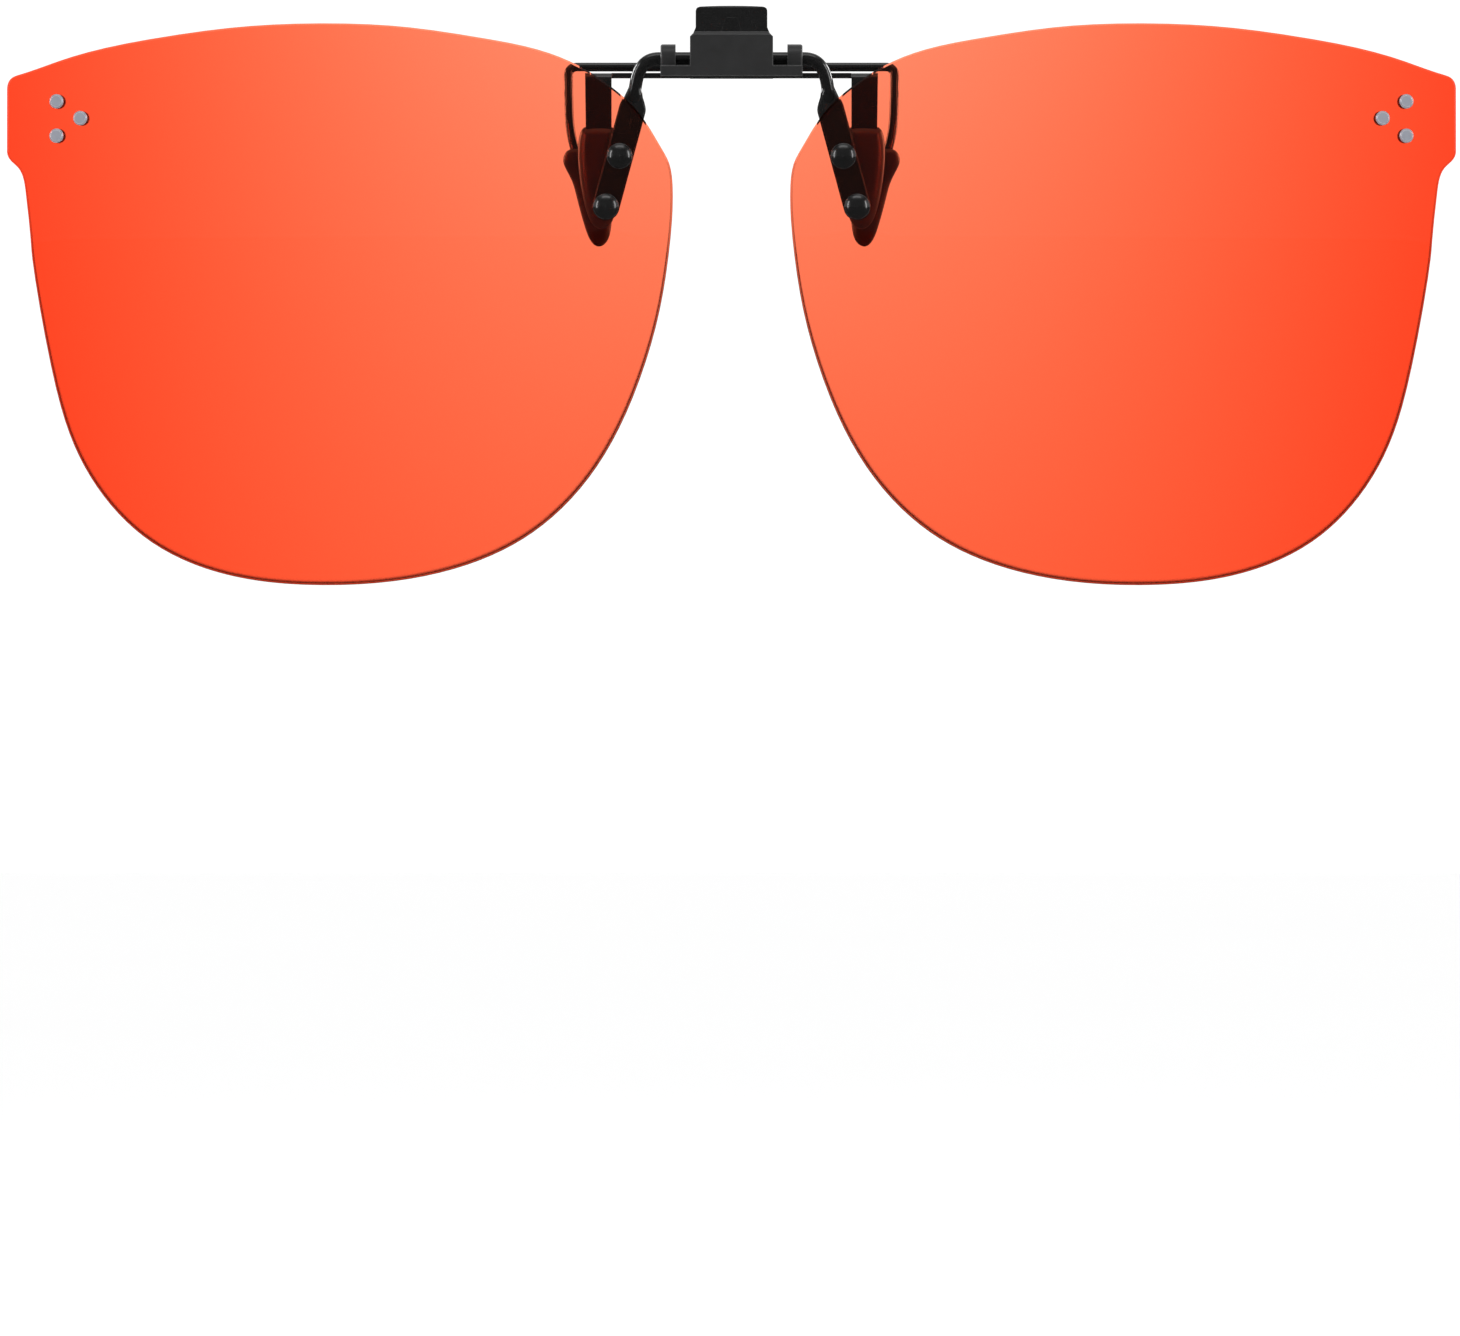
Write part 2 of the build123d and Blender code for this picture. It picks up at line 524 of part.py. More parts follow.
foot_y = SPRING_FOOT_Y
foot_z = TAIL_TOP + SPRING_WIRE_R + SEAT
hand_y = LEVER_FRONT - SPRING_WIRE_R - SEAT
foot_angle = touching_angle(foot_y, foot_z, -1)
hand_angle = touching_angle(hand_y, SPRING_HAND_Z, 1)
wound = SPRING_TURNS * 2 * math.pi - (hand_angle - foot_angle) % (2 * math.pi)
coil_half = SPRING_PITCH * wound / (4 * math.pi)
steps = 24 * SPRING_TURNS
coil_points = [
    (
        coil_half * (2 * k / steps - 1),
        PIVOT_Y + COIL_R * math.cos(foot_angle - wound * k / steps),
        PIVOT_Z + COIL_R * math.sin(foot_angle - wound * k / steps),
    )
    for k in range(steps + 1)
]
foot_leg = Line((-coil_half, foot_y, foot_z), coil_points[0])
hand_leg = Line(coil_points[-1], (coil_half, hand_y, SPRING_HAND_Z))
coil = Spline(*coil_points)
spring_path = foot_leg + coil + hand_leg
spring_start = Plane(origin=foot_leg @ 0, z_dir=foot_leg % 0)
torsion_spring = sweep(spring_start * Circle(SPRING_WIRE_R), path=spring_path)

# ---- save every node ----------------------------------------------------------------------
save(hinge_body, "hinge_body")
save(claw_plate, "claw_plate")
save(plate_rivets, "plate_rivets")
save_pair(sleeve, "front_sleeve")
save(leaf, "detent_leaf")
save(cam, "detent_cam")
save_pair(lens_arm, "lens_arm")
save_pair(lens, "lens")
save_pair(lens_rivets, "lens_rivets")
save_pair(corner_studs, "corner_studs")
save(claw_wire, "claw_wire")
save_pair(rear_pad, "rear_pad")
save(lever, "squeeze_lever")
save(torsion_spring, "torsion_spring")
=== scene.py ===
# %% [markdown]
# # A flip-up clip-on, from frame to finished look
# The clip-on is two tinted lenses that turn on one axle in a small cast bracket. A sprung jaw
# behind the bracket grips a pair of spectacles. The hard parts come in at their true size from
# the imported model, so the work here is finish, soft parts, light and camera.

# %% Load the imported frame
import math

import bmesh
import bpy
from mathutils import Matrix, Vector


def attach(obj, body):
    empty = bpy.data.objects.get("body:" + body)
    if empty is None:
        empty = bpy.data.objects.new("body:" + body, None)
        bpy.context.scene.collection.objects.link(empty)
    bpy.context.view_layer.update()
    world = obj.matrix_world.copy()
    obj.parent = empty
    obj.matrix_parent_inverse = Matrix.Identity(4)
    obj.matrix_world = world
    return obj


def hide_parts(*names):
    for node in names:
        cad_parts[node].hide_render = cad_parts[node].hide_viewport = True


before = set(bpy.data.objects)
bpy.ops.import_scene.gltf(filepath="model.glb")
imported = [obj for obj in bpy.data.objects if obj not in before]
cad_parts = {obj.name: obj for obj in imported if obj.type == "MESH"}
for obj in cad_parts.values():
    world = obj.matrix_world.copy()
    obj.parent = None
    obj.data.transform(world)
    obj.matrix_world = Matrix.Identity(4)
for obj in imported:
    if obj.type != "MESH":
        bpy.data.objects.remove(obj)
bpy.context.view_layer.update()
MM = 0.001

# %% [markdown]
# ## Where things are
# Every measure here is given from the flip axle, as an optician would. The shared frame has its
# origin in the middle of the jaw, so one helper turns axle millimetres into metres in that frame.

# %% Places
AXLE_Y = -2.65
AXLE_Z = 12.5


def spot(x, y, z):
    """A point given in millimetres from the flip axle, in metres in the shared frame."""
    return Vector((x * MM, (y + AXLE_Y) * MM, (z + AXLE_Z) * MM))


print("axle at", tuple(round(v, 5) for v in spot(0, 0, 0)))

# %% [markdown]
# ## Camera
# The object is seen square on, from far away, so that its parts keep their true proportions. A
# long lens does that: a 500 mm lens two metres off sees a field 146 mm wide. The camera looks
# level and sits below the object, which leaves it in the upper part of the picture.

# %% Camera
FIELD_W = 146.0
LENS_MM = 500.0
SENSOR_MM = 36.0
CAMERA_SIDE = -0.15    # millimetres from the flip axle
CAMERA_HEIGHT = -60.95
camera_data = bpy.data.cameras.new("studio_camera")
camera_data.lens = LENS_MM
camera_data.sensor_width = SENSOR_MM
camera_data.clip_end = 20.0
camera = bpy.data.objects.new("studio_camera", camera_data)
camera_away = FIELD_W * LENS_MM / SENSOR_MM
camera.location = spot(CAMERA_SIDE, -camera_away, CAMERA_HEIGHT)
camera.rotation_euler = (math.radians(90), 0, 0)
bpy.context.scene.collection.objects.link(camera)
bpy.context.scene.camera = camera
bpy.context.scene.view_settings.view_transform = "Standard"
print("camera is", round(camera_away * MM, 3), "m away")

# %% [markdown]
# ## Floor and light
# The floor is a plain pale disc well below the hanging lenses. The surroundings are bright where
# they are seen directly or through the lenses. Polished black parts need something darker to
# mirror, with a few bright soft boxes, or they would look grey instead of glossy.

# %% Floor
FLOOR_HEIGHT = -142.0  # millimetres from the flip axle
FLOOR_RADIUS = 6.0     # metres, so that its rim is never in view
floor_mesh = bpy.data.meshes.new("floor")
shape = bmesh.new()
bmesh.ops.create_circle(shape, cap_ends=True, segments=96, radius=FLOOR_RADIUS)
bmesh.ops.translate(shape, vec=spot(0, 0, FLOOR_HEIGHT), verts=shape.verts)
shape.to_mesh(floor_mesh)
shape.free()
floor = bpy.data.objects.new("floor", floor_mesh)
bpy.context.scene.collection.objects.link(floor)
print("floor at", round(spot(0, 0, FLOOR_HEIGHT).z, 4), "m")


# %% Node helpers
def new_material(name):
    """A material with an empty Principled BSDF, and the two things every recipe needs."""
    material = bpy.data.materials.new(name)
    material.use_nodes = True
    tree = material.node_tree
    return material, tree, tree.nodes["Principled BSDF"]


def maths(tree, operation, first, second=0.0, clamp=False):
    """One Math node. Each of its inputs is a socket or a plain number."""
    made = tree.nodes.new("ShaderNodeMath")
    made.operation = operation
    made.use_clamp = clamp
    for socket, value in zip(made.inputs, (first, second)):
        if isinstance(value, (int, float)):
            socket.default_value = value
        else:
            tree.links.new(value, socket)
    return made.outputs[0]


# %% Mirror test
def in_mirror(tree):
    """1 once a ray has been sent back by a polished surface, 0 before that."""
    path = tree.nodes.new("ShaderNodeLightPath")
    return maths(tree, "MINIMUM", path.outputs["Glossy Depth"], 1.0)


def rise(tree, value, start, slope, top):
    """0 below start, then climbing with this slope, up to 1, and all of it times top."""
    climb = maths(tree, "MULTIPLY", maths(tree, "SUBTRACT", value, start), slope, clamp=True)
    return maths(tree, "MULTIPLY", climb, top)


# %% World
FRONT_LEVEL = 0.09     # what a polished face turned to the camera mirrors
BEHIND_LEVEL = 1.4
ABOVE_LEVEL = 0.45
SIDE_LEVEL = 0.6
OPEN_LEVEL = 1.1       # what is seen directly and through the lenses
RING_INNER = 0.5       # the bright ring behind the object, 1 being straight back
RING_OUTER = 0.84
LOW_SHARE = 0.15       # what is left of the ring at the horizon
SIDE_START = 0.7
ABOVE_START = 0.72


def build_world():
    world = bpy.data.worlds.new("studio")
    bpy.context.scene.world = world
    world.use_nodes = True
    tree = world.node_tree
    tree.nodes.clear()
    out = tree.nodes.new("ShaderNodeOutputWorld")
    place = tree.nodes.new("ShaderNodeTexCoord")
    axes = tree.nodes.new("ShaderNodeSeparateXYZ")
    tree.links.new(place.outputs["Generated"], axes.inputs[0])
    near_edge = rise(tree, axes.outputs[1], RING_INNER, 3.0, 1.0)
    far_edge = rise(tree, axes.outputs[1], RING_OUTER, 12.0, 1.0)
    ring = maths(tree, "SUBTRACT", near_edge, far_edge)
    climb = rise(tree, axes.outputs[2], 0.0, 3.0, 1.0 - LOW_SHARE)
    uphill = maths(tree, "ADD", climb, LOW_SHARE)
    behind = maths(tree, "MULTIPLY", maths(tree, "MULTIPLY", ring, uphill), BEHIND_LEVEL)
    above = rise(tree, axes.outputs[2], ABOVE_START, 4.0, ABOVE_LEVEL)
    sideways = maths(tree, "ABSOLUTE", axes.outputs[0])
    beside = rise(tree, sideways, SIDE_START, 5.0, SIDE_LEVEL)
    far_light = maths(tree, "ADD", behind, above)
    near_light = maths(tree, "ADD", beside, FRONT_LEVEL)
    level = maths(tree, "ADD", far_light, near_light)
    mirrored = tree.nodes.new("ShaderNodeBackground")
    tree.links.new(level, mirrored.inputs["Strength"])
    plain = tree.nodes.new("ShaderNodeBackground")
    plain.inputs["Color"].default_value = (1, 1, 1, 1)
    plain.inputs["Strength"].default_value = OPEN_LEVEL
    mix = tree.nodes.new("ShaderNodeMixShader")
    tree.links.new(in_mirror(tree), mix.inputs[0])
    tree.links.new(plain.outputs[0], mix.inputs[1])
    tree.links.new(mirrored.outputs[0], mix.inputs[2])
    tree.links.new(mix.outputs[0], out.inputs["Surface"])


build_world()


# %% Soft boxes
def soft_box(name, place, aim, width, height, watts):
    """A rectangular studio lamp that points from one place at another, in metres."""
    data = bpy.data.lights.new(name, "AREA")
    data.shape = "RECTANGLE"
    data.size = width
    data.size_y = height
    data.energy = watts
    lamp = bpy.data.objects.new(name, data)
    lamp.location = place
    lamp.rotation_euler = (Vector(aim) - Vector(place)).to_track_quat("-Z", "Y").to_euler()
    bpy.context.scene.collection.objects.link(lamp)


MIDDLE = (0, 0, 0)
soft_box("top_box", (0, -0.25, 0.8), MIDDLE, width=0.7, height=0.25, watts=0.5)
for side, name in ((-1, "left"), (1, "right")):
    soft_box(f"{name}_strip", (side * 0.85, -0.35, 0.2), MIDDLE, width=0.12, height=0.7, watts=1.2)
    soft_box(f"{name}_rim_strip", (side * 0.8, 0.5, 0.2), MIDDLE, width=0.2, height=0.6, watts=4.0)
print("lamps:", len(bpy.data.lights))

# %% [markdown]
# ## Shared surface effects
# Three effects are used by several finishes, so each is one node group. The first gives the faint
# unevenness of a moulded or lacquered skin. The second gives fine scratches from handling. The
# third finds the edges, inner corners too. There lacquer rubs through first, and a lighter edge
# colour is also a painted glint. Groups give only numbers, and each material decides what they
# mean for it.


# %% Effect groups
def new_group(name, inputs, outputs):
    """An empty shader node group with named number sockets, and its two end nodes."""
    group = bpy.data.node_groups.new(name, "ShaderNodeTree")
    for label, value in inputs:
        socket = group.interface.new_socket(label, in_out="INPUT", socket_type="NodeSocketFloat")
        socket.default_value = value
    for label in outputs:
        group.interface.new_socket(label, in_out="OUTPUT", socket_type="NodeSocketFloat")
    return group, group.nodes.new("NodeGroupInput"), group.nodes.new("NodeGroupOutput")


def noise(tree, coords, scale, detail, stretch=(1, 1, 1)):
    """Noise on Object coordinates, with its scale in features per metre."""
    shift = tree.nodes.new("ShaderNodeMapping")
    shift.inputs["Scale"].default_value = stretch
    tree.links.new(coords, shift.inputs["Vector"])
    made = tree.nodes.new("ShaderNodeTexNoise")
    made.inputs["Detail"].default_value = detail
    tree.links.new(shift.outputs[0], made.inputs["Vector"])
    if isinstance(scale, (int, float)):
        made.inputs["Scale"].default_value = scale
    else:
        tree.links.new(scale, made.inputs["Scale"])
    return made.outputs["Fac"]


def make_skin_group():
    inputs = [("Grain", 9000.0), ("Cloud", 500.0)]
    group, ins, outs = new_group("skin_texture", inputs, ["Height", "Patches"])
    place = group.nodes.new("ShaderNodeTexCoord").outputs["Object"]
    fine = noise(group, place, ins.outputs["Grain"], 3.0)
    broad = noise(group, place, ins.outputs["Cloud"], 4.0)
    group.links.new(fine, outs.inputs["Height"])
    group.links.new(broad, outs.inputs["Patches"])
    return group


SCRATCH_START = 0.66   # noise below this is unmarked


def make_scratch_group():
    inputs = [("Density", 1500.0), ("Amount", 0.5)]
    group, ins, outs = new_group("handling_scratches", inputs, ["Mask"])
    place = group.nodes.new("ShaderNodeTexCoord").outputs["Object"]
    along = noise(group, place, ins.outputs["Density"], 2.0, (0.25, 1.0, 3.2))
    across = noise(group, place, ins.outputs["Density"], 2.0, (3.0, 1.0, 0.3))
    lines = maths(group, "MAXIMUM", along, across)
    sharp = rise(group, lines, SCRATCH_START, 9.0, 1.0)
    group.links.new(maths(group, "MULTIPLY", sharp, ins.outputs["Amount"]), outs.inputs["Mask"])
    return group


WEAR_START = 0.35      # noise below this keeps its lacquer


# Edge mask for rubbed wear and for painted edge glints. It also marks inner corners, where nothing
# rubs, so there it is only a painted glint.
def make_edge_wear_and_glint_group():
    inputs = [("Patchiness", 0.5), ("Reach", 0.09)]
    group, ins, outs = new_group("edge_wear_and_glint", inputs, ["Mask"])
    group.interface.new_socket("Normal", in_out="OUTPUT", socket_type="NodeSocketVector")
    place = group.nodes.new("ShaderNodeTexCoord").outputs["Object"]
    rounded = group.nodes.new("ShaderNodeBevel")
    rounded.samples = 4
    group.links.new(maths(group, "MULTIPLY", ins.outputs["Reach"], MM), rounded.inputs["Radius"])
    plain = group.nodes.new("ShaderNodeNewGeometry")
    agree = group.nodes.new("ShaderNodeVectorMath")
    agree.operation = "DOT_PRODUCT"
    group.links.new(rounded.outputs[0], agree.inputs[0])
    group.links.new(plain.outputs["Normal"], agree.inputs[1])
    turned = maths(group, "SUBTRACT", 1.0, agree.outputs["Value"])
    edge = maths(group, "MULTIPLY", turned, 9.0, clamp=True)
    patches = noise(group, place, 2600.0, 4.0)
    worn = rise(group, patches, WEAR_START, 3.0, 1.0)
    keep = maths(group, "SUBTRACT", 1.0, ins.outputs["Patchiness"])
    share = maths(group, "ADD", keep, maths(group, "MULTIPLY", worn, ins.outputs["Patchiness"]))
    group.links.new(maths(group, "MULTIPLY", edge, share), outs.inputs["Mask"])
    group.links.new(rounded.outputs[0], outs.inputs["Normal"])
    return group


SKIN = make_skin_group()
SCRATCHES = make_scratch_group()
EDGE_WEAR_AND_GLINT = make_edge_wear_and_glint_group()
print("effect groups:", [g.name for g in bpy.data.node_groups])


# %% Recipe helpers
def effect(tree, group, **values):
    """Place an effect group in a material with this material's own values."""
    made = tree.nodes.new("ShaderNodeGroup")
    made.node_tree = group
    for key, value in values.items():
        made.inputs[key].default_value = value
    return made


def blend_colour(tree, mask, first, second):
    """A colour that goes from first to second with the mask. Each is a colour or a socket."""
    mix = tree.nodes.new("ShaderNodeMix")
    mix.data_type = "RGBA"
    tree.links.new(mask, mix.inputs["Factor"])
    colour_sockets = [s for s in mix.inputs if s.type == "RGBA"]
    for socket, value in zip(colour_sockets, (first, second)):
        if isinstance(value, tuple):
            socket.default_value = (*value, 1.0)
        else:
            tree.links.new(value, socket)
    return [s for s in mix.outputs if s.type == "RGBA"][0]


def span(tree, mask, low, high):
    """A number that goes from low to high as the mask goes from 0 to 1."""
    reach = tree.nodes.new("ShaderNodeMapRange")
    reach.inputs["To Min"].default_value = low
    reach.inputs["To Max"].default_value = high
    tree.links.new(mask, reach.inputs["Value"])
    return reach.outputs["Result"]


def raise_surface(tree, bsdf, height, distance, base=None):
    """Turn a height into bump on the shader. Distance is the real depth in metres."""
    bump = tree.nodes.new("ShaderNodeBump")
    if base is not None:
        tree.links.new(base, bump.inputs["Normal"])
    bump.inputs["Distance"].default_value = distance
    tree.links.new(height, bump.inputs["Height"])
    tree.links.new(bump.outputs["Normal"], bsdf.inputs["Normal"])


# %% [markdown]
# ## Floor paint
# A matt off-white sheet. A little broad unevenness in its roughness is enough: it should not draw
# the eye. In mirrors it is dark, like a black card that a photographer lays under a glossy object.

# %% Floor material
paint, tree, bsdf = new_material("pale_floor")
bsdf.inputs["Specular IOR Level"].default_value = 0.1
skin = effect(tree, SKIN, Grain=300.0, Cloud=4.0)
tree.links.new(span(tree, skin.outputs["Patches"], 0.75, 0.95), bsdf.inputs["Roughness"])
sheet = blend_colour(tree, in_mirror(tree), (0.93, 0.93, 0.93), (0.05, 0.05, 0.05))
tree.links.new(sheet, bsdf.inputs["Base Color"])
floor.data.materials.append(paint)


# %% [markdown]
# ## Black finishes
# The bracket is a casting with satin lacquer, which has a fine orange-peel skin and shows metal
# where its edges have rubbed. Its lighter edge colour is also a painted highlight along the bevels
# and a painted glint in inner corners. The wires, arms, blades and lever are steel with a gloss
# black plating, smoother and deeper, with fine handling scratches.

# %% Satin bracket lacquer
def satin_lacquer():
    material, tree, bsdf = new_material("satin_black_lacquer")
    skin = effect(tree, SKIN, Grain=12000.0, Cloud=700.0)
    marks = effect(tree, SCRATCHES, Density=1800.0, Amount=0.2)
    edges = effect(tree, EDGE_WEAR_AND_GLINT, Patchiness=0.4, Reach=0.16)
    coat = blend_colour(tree, skin.outputs["Patches"], (0.016, 0.016, 0.016), (0.026, 0.026, 0.027))
    # edge colour 0.11: rubbed wear, plus a painted highlight along the bevels and painted glints in
    # inner corners
    tree.links.new(
        blend_colour(tree, edges.outputs["Mask"], coat, (0.11, 0.11, 0.11)), bsdf.inputs["Base Color"]
    )
    rough = maths(tree, "ADD", span(tree, skin.outputs["Patches"], 0.30, 0.42), marks.outputs["Mask"])
    tree.links.new(rough, bsdf.inputs["Roughness"])
    raise_surface(tree, bsdf, skin.outputs["Height"], 0.002 * MM, edges.outputs["Normal"])
    return material


# %% Gloss black plating
def black_plating():
    material, tree, bsdf = new_material("gloss_black_plating")
    skin = effect(tree, SKIN, Grain=7000.0, Cloud=900.0)
    marks = effect(tree, SCRATCHES, Density=2400.0, Amount=0.2)
    edges = effect(tree, EDGE_WEAR_AND_GLINT, Patchiness=0.5)
    coat = blend_colour(tree, skin.outputs["Patches"], (0.004, 0.004, 0.004), (0.009, 0.009, 0.009))
    # edge colour 0.12: rubbed plating, plus painted glints along edges and in inner corners
    tree.links.new(
        blend_colour(tree, edges.outputs["Mask"], coat, (0.12, 0.12, 0.12)), bsdf.inputs["Base Color"]
    )
    bsdf.inputs["Coat Weight"].default_value = 0.9
    bsdf.inputs["Coat Roughness"].default_value = 0.06
    rough = maths(tree, "ADD", span(tree, skin.outputs["Patches"], 0.14, 0.24), marks.outputs["Mask"])
    tree.links.new(rough, bsdf.inputs["Roughness"])
    raise_surface(tree, bsdf, skin.outputs["Height"], 0.0008 * MM, edges.outputs["Normal"])
    return material


# %% [markdown]
# ## Bright metals
# The corner studs are pressed from aluminium and keep a pale, slightly bluish sheen that does not
# mirror sharply. Their near-white rim is a painted highlight. The cam and the two plate rivets are
# bright nickel. The springs are drawn wire and rolled strip, which keep faint lines along their
# length.

# %% Stud aluminium
def stud_aluminium():
    material, tree, bsdf = new_material("pressed_aluminium")
    skin = effect(tree, SKIN, Grain=16000.0, Cloud=1500.0)
    marks = effect(tree, SCRATCHES, Density=5000.0, Amount=0.25)
    edges = effect(tree, EDGE_WEAR_AND_GLINT, Patchiness=0.2)
    face = blend_colour(tree, skin.outputs["Patches"], (0.34, 0.36, 0.42), (0.44, 0.46, 0.52))
    # bright rim colour 0.92 is a painted highlight on the stud's rounded rim
    tree.links.new(
        blend_colour(tree, edges.outputs["Mask"], face, (0.92, 0.92, 0.92)), bsdf.inputs["Base Color"]
    )
    bsdf.inputs["Metallic"].default_value = 0.4
    rough = maths(tree, "ADD", span(tree, skin.outputs["Patches"], 0.26, 0.40), marks.outputs["Mask"])
    tree.links.new(rough, bsdf.inputs["Roughness"])
    raise_surface(tree, bsdf, skin.outputs["Height"], 0.002 * MM, edges.outputs["Normal"])
    return material


# %% Nickel and spring steel
def bright_nickel():
    material, tree, bsdf = new_material("bright_nickel")
    skin = effect(tree, SKIN, Grain=9000.0, Cloud=1200.0)
    marks = effect(tree, SCRATCHES, Density=3000.0, Amount=0.25)
    tree.links.new(
        blend_colour(tree, skin.outputs["Patches"], (0.62, 0.62, 0.62), (0.80, 0.80, 0.79)),
        bsdf.inputs["Base Color"],
    )
    bsdf.inputs["Metallic"].default_value = 1.0
    rough = maths(tree, "ADD", span(tree, skin.outputs["Patches"], 0.14, 0.28), marks.outputs["Mask"])
    tree.links.new(rough, bsdf.inputs["Roughness"])
    raise_surface(tree, bsdf, skin.outputs["Height"], 0.002 * MM)
    return material


def spring_steel():
    material, tree, bsdf = new_material("drawn_spring_steel")
    place = tree.nodes.new("ShaderNodeTexCoord").outputs["Object"]
    lines = noise(tree, place, 6000.0, 2.0, (3.0, 3.0, 0.2))
    tree.links.new(
        blend_colour(tree, lines, (0.34, 0.34, 0.35), (0.56, 0.56, 0.56)), bsdf.inputs["Base Color"]
    )
    bsdf.inputs["Metallic"].default_value = 1.0
    tree.links.new(span(tree, lines, 0.22, 0.42), bsdf.inputs["Roughness"])
    raise_surface(tree, bsdf, lines, 0.004 * MM)
    return material


# %% [markdown]
# ## Rubber
# The sleeves and pads are smooth moulded rubber. It is nearly black, with a broad soft highlight
# and a very fine skin, a little duller in patches where fingers and frames have rubbed it.

# %% Rubber material
def moulded_rubber():
    material, tree, bsdf = new_material("moulded_rubber")
    skin = effect(tree, SKIN, Grain=11000.0, Cloud=450.0)
    marks = effect(tree, SCRATCHES, Density=1400.0, Amount=0.15)
    tree.links.new(
        blend_colour(tree, skin.outputs["Patches"], (0.030, 0.024, 0.022), (0.048, 0.040, 0.036)),
        bsdf.inputs["Base Color"],
    )
    rough = maths(tree, "ADD", span(tree, skin.outputs["Patches"], 0.28, 0.40), marks.outputs["Mask"])
    tree.links.new(rough, bsdf.inputs["Roughness"])
    raise_surface(tree, bsdf, skin.outputs["Height"], 0.003 * MM)
    bsdf.inputs["Specular IOR Level"].default_value = 0.9
    return material


# %% [markdown]
# ## Tinted lens
# The lens is clear optical plastic, dyed red-orange. The dye is lightest by the nose at the top
# and deepest at the outer lower edge, and the two lenses mirror each other. Dye stops green and
# blue and lets red through, so only those two change. Near its edge a lens turns the light away,
# so the rim looks like a thin dark line. Here that line is painted shade, a dark colour mixed into
# the lens near its edge. It is widest below, where the eye looks along the wall, and fades towards
# the brow.

# %% Dye strength group
DYE_MIDDLE = 20.0      # millimetres from the middle plane, where the sums below start
DYE_ACROSS = 0.0109    # more dye for each millimetre outwards
DYE_CURVE = 0.000256   # and how that grows with each millimetre
DYE_DOWN = 0.0125      # more dye for each millimetre down
DYE_DOWN_FADE = 0.00013  # and how that weakens with each millimetre outwards
def make_dye_group():
    group, ins, outs = new_group("dye_strength", [("Lightest", 0.0)], ["Depth", "Below"])
    place = group.nodes.new("ShaderNodeTexCoord").outputs["Object"]
    axes = group.nodes.new("ShaderNodeSeparateXYZ")
    group.links.new(place, axes.inputs[0])
    side = maths(group, "ABSOLUTE", axes.outputs[0])
    outward = maths(group, "SUBTRACT", maths(group, "DIVIDE", side, MM), DYE_MIDDLE)
    below = maths(group, "SUBTRACT", AXLE_Z, maths(group, "DIVIDE", axes.outputs[2], MM))
    curve = maths(group, "ADD", maths(group, "MULTIPLY", outward, DYE_CURVE), DYE_ACROSS)
    across = maths(group, "MULTIPLY", curve, outward)
    slope = maths(group, "SUBTRACT", DYE_DOWN, maths(group, "MULTIPLY", outward, DYE_DOWN_FADE))
    down = maths(group, "MULTIPLY", slope, below)
    density = maths(group, "ADD", maths(group, "ADD", across, down), ins.outputs["Lightest"])
    group.links.new(density, outs.inputs["Depth"])
    group.links.new(below, outs.inputs["Below"])
    return group


DYE = make_dye_group()

# %% Lens rim painted shade group
RIM_WIDEST = 0.6       # millimetres, at the bottom of the lens
RIM_NARROWEST = 0.12   # millimetres, at the brow
BEVEL_SHARE = 0.6      # how far the bevel goes towards the painted rim shade
WALL_SHARE = 0.2       # how much of that is left on the wall, which shows the dye
RIM_STARTS = 7.0       # millimetres below the axle, where the dark line begins
RIM_DEEPEST = 50.0     # and where it is widest
FACE_TURN = 0.94       # a normal less square on than this is no longer on the lens's face
WALL_TURN = 0.45       # and below this it is on the wall


def make_rim_shade_group():
    group, ins, outs = new_group("lens_rim_shade", [("Below", 0.0)], ["Mask"])
    width = group.nodes.new("ShaderNodeMapRange")
    width.interpolation_type = "SMOOTHSTEP"
    width.inputs["From Min"].default_value = 8.0
    width.inputs["From Max"].default_value = RIM_DEEPEST
    width.inputs["To Min"].default_value = RIM_NARROWEST * MM
    width.inputs["To Max"].default_value = RIM_WIDEST * MM
    group.links.new(ins.outputs["Below"], width.inputs["Value"])
    rounded = group.nodes.new("ShaderNodeBevel")
    rounded.samples = 8
    group.links.new(width.outputs["Result"], rounded.inputs["Radius"])
    plain = group.nodes.new("ShaderNodeNewGeometry")
    agree = group.nodes.new("ShaderNodeVectorMath")
    agree.operation = "DOT_PRODUCT"
    group.links.new(rounded.outputs[0], agree.inputs[0])
    group.links.new(plain.outputs["Normal"], agree.inputs[1])
    turned = maths(group, "SUBTRACT", 1.0, agree.outputs["Value"])
    strength = rise(group, ins.outputs["Below"], RIM_STARTS, 0.08, 1.0)
    near_edge = rise(group, turned, 0.003, 60.0, 1.0)
    # the bevel and the wall turn well away from the lens's front and back, and the wall most
    facing = group.nodes.new("ShaderNodeSeparateXYZ")
    own_normal = group.nodes.new("ShaderNodeTexCoord").outputs["Normal"]
    group.links.new(own_normal, facing.inputs[0])
    turn = maths(group, "ABSOLUTE", facing.outputs[1])
    beyond_face = maths(group, "MULTIPLY", maths(group, "SUBTRACT", FACE_TURN, turn), 20.0, clamp=True)
    on_wall = maths(group, "MULTIPLY", maths(group, "SUBTRACT", WALL_TURN, turn), 20.0, clamp=True)
    edge = maths(group, "MAXIMUM", near_edge, maths(group, "MULTIPLY", beyond_face, BEVEL_SHARE))
    lighter = maths(group, "SUBTRACT", 1.0, maths(group, "MULTIPLY", on_wall, 1.0 - WALL_SHARE))
    edge = maths(group, "MULTIPLY", edge, lighter)
    group.links.new(maths(group, "MULTIPLY", edge, strength), outs.inputs["Mask"])
    return group


LENS_RIM_SHADE = make_rim_shade_group()


# %% Lens material
LEAST_DYE = 1.48       # depth of dye at DYE_MIDDLE and the height of the axle
BLUE_STOP = 1.44       # blue is stopped this much harder than green
# painted shade: the dark colour of the line where the lens edge turns light away
RIM_SHADE_COLOUR = (0.03, 0.003, 0.002)


